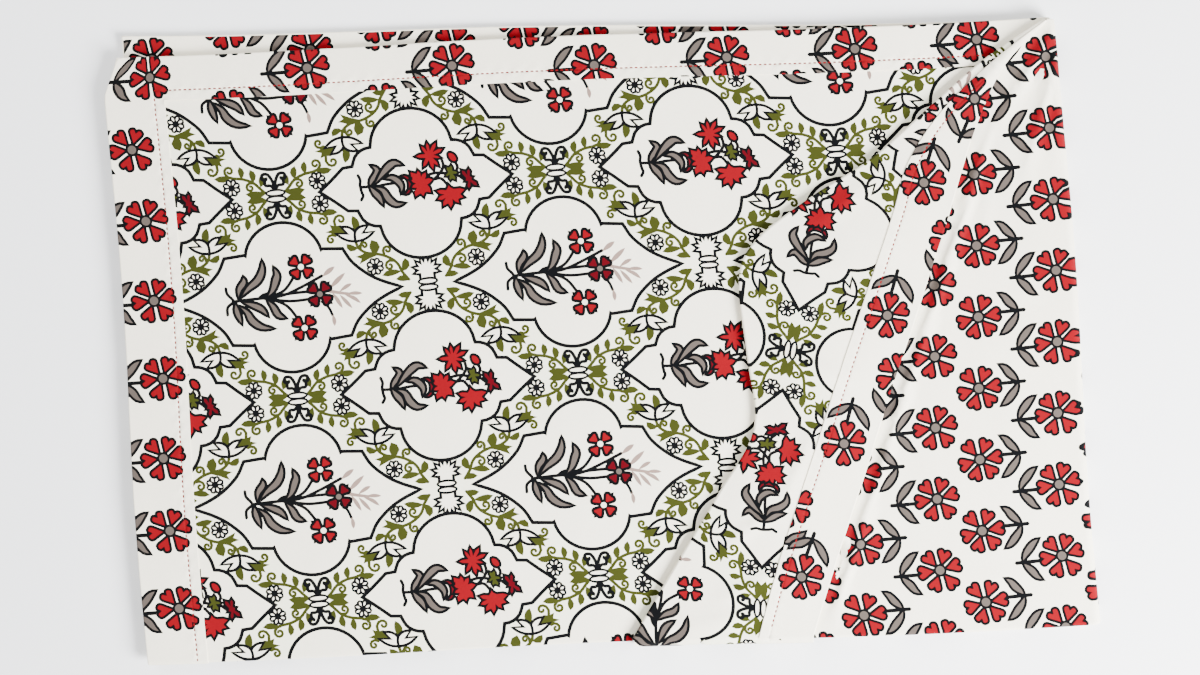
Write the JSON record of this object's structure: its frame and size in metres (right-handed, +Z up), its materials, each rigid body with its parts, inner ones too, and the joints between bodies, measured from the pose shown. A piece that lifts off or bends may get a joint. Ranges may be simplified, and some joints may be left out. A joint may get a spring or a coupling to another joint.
{
  "type": "folded coverlet",
  "caption": "Printed cotton coverlet of two cloths, folded in quarters, with one corner of its top layer turned back to show both prints.",
  "frame": {"origin": "on the surface it rests on, under the middle of the folded coverlet's box", "axes": "+X along the folded coverlet, towards the folded end; +Y across it, from the folded long side to the hems; +Z up from the surface"},
  "size_m": [1.1012, 0.7197, 0.0302],
  "materials": {
    "lattice_cotton": "matt plain-weave cotton, cream, printed with an olive and black lattice around red and grey sprigs",
    "flower_cotton": "matt plain-weave cotton, cream, printed with rows of red flowers with grey leaves and black outlines"
  },
  "bodies": {
    "root": {"face_panel": "lattice_cotton", "back_panel": "flower_cotton"}
  },
  "joints": []
}
